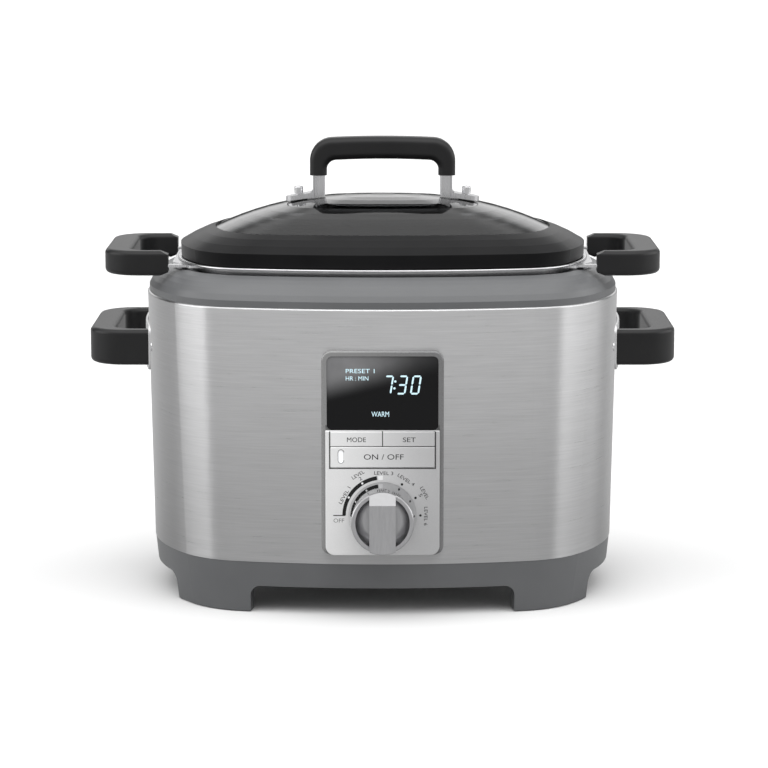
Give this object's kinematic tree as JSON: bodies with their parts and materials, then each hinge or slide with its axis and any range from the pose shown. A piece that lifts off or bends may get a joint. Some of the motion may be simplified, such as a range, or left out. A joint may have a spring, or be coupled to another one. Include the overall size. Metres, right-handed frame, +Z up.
{
  "type": "slow cooker",
  "caption": "Electric slow cooker with an oval brushed-steel body, lift-out vessel with loop handles, smoked-glass lid with a bar handle, and a front panel with display, buttons and dial.",
  "frame": {"origin": "centre of the bounding box at its base, on the surface the feet stand on", "axes": "+Z up, the control panel faces -Y, +X to the right of a person facing the panel"},
  "size_m": [0.4548, 0.3058, 0.3543],
  "materials": {
    "shell_steel": "satin, brushed",
    "grey_plastic": "satin moulded",
    "black_plastic": "satin moulded",
    "lid_black": "satin moulded",
    "smoked_glass": "polished, smoked",
    "vessel_metal": "satin outside, dark non-stick inside",
    "heater_aluminium": "cast",
    "galvanised_steel": "galvanised sheet",
    "fastener_steel": "bright zinc",
    "post_steel": "satin",
    "knob_steel": "polished skirt, brushed face",
    "frame_grey": "satin",
    "fascia_silver": "satin silver",
    "button_silver": "satin silver",
    "display_black": "gloss",
    "light_white": "translucent",
    "rubber_grey": "matte",
    "silicone_black": "matte",
    "board_green": "solder mask",
    "component_black": "moulded",
    "component_white": "moulded",
    "insulation_white": "felted glass fibre",
    "inlet_black": "moulded",
    "pin_brass": "nickel-plated",
    "wire_grey": "insulated wire",
    "encoder_zinc": "zinc die casting"
  },
  "bodies": {
    "housing": {"base_moulding": "grey_plastic", "foot_pads": "rubber_grey", "bottom_plate": "galvanised_steel", "bottom_screws": "fastener_steel", "outer_shell": "shell_steel", "top_collar": "grey_plastic", "heating_well": "heater_aluminium", "band_heater": "component_white", "insulation_blanket": "insulation_white", "heater_plate": "heater_aluminium", "heating_element": "galvanised_steel", "well_supports": "component_white", "sensor_bracket": "galvanised_steel", "thermal_fuse": "fastener_steel", "power_board": "board_green", "board_standoffs": "component_white", "transformer": "component_black", "relays": "component_white", "capacitors": "component_black", "bezel_frame": "frame_grey", "display_lens": "display_black", "display_module": "component_black", "control_fascia": "fascia_silver", "tact_switches": "component_black", "control_board": "board_green", "ribbon_cable": "wire_grey", "encoder_body": "encoder_zinc", "handle_plate_left": "shell_steel", "handle_plate_right": "shell_steel", "base_handle_left": "black_plastic", "base_handle_right": "black_plastic", "base_handle_screws": "fastener_steel", "power_inlet": "inlet_black", "inlet_pins": "pin_brass", "inlet_screws": "fastener_steel", "mains_leads": "wire_grey", "heater_leads": "wire_grey"},
    "temperature_sensor": {"temperature_sensor": "post_steel", "sensor_spring": "fastener_steel"},
    "back_button": {"back_button": "button_silver"},
    "timer_button": {"timer_button": "button_silver"},
    "start_button": {"start_button": "button_silver", "start_light_pipe": "light_white"},
    "knob": {"knob": "knob_steel", "knob_core": "component_black", "encoder_shaft": "encoder_zinc"},
    "vessel": {"cooking_vessel": "vessel_metal", "vessel_bracket_left": "post_steel", "vessel_bracket_right": "post_steel", "vessel_handle_left": "black_plastic", "vessel_handle_right": "black_plastic", "vessel_handle_screws": "fastener_steel"},
    "lid": {"lid_glass": "smoked_glass", "lid_rim": "lid_black", "lid_gasket": "silicone_black", "lid_handle_grip": "black_plastic", "lid_posts": "post_steel", "lid_bolts": "fastener_steel", "lid_washers": "silicone_black", "lid_nuts": "fastener_steel"}
  },
  "joints": [
    {"name": "sensor_press", "type": "slide", "parent": "housing", "child": "temperature_sensor", "axis": [0, 0, -1], "range_m": [0, 0.003], "stiffness_N_per_m": 300, "springref_m": -0.004, "deforming": ["sensor_spring"]},
    {"name": "back_press", "type": "slide", "parent": "housing", "child": "back_button", "axis": [0, 1, 0], "range_m": [0, 0.0006], "stiffness_N_per_m": 800, "springref_m": -0.001},
    {"name": "timer_press", "type": "slide", "parent": "housing", "child": "timer_button", "axis": [0, 1, 0], "range_m": [0, 0.0006], "stiffness_N_per_m": 800, "springref_m": -0.001},
    {"name": "start_press", "type": "slide", "parent": "housing", "child": "start_button", "axis": [0, 1, 0], "range_m": [0, 0.0006], "stiffness_N_per_m": 800, "springref_m": -0.001},
    {"name": "knob_turn", "type": "hinge", "parent": "housing", "child": "knob", "pos_m": [0, -0.1179, 0.0792], "axis": [0, -1, 0], "range_deg": [-90, 90]},
    {"name": "vessel_lift", "type": "slide", "parent": "housing", "child": "vessel", "axis": [0, 0, 1], "range_m": [0, 0.2]},
    {"name": "lid_lift", "type": "slide", "parent": "vessel", "child": "lid", "axis": [0, 0, 1], "range_m": [0, 0.2]}
  ]
}
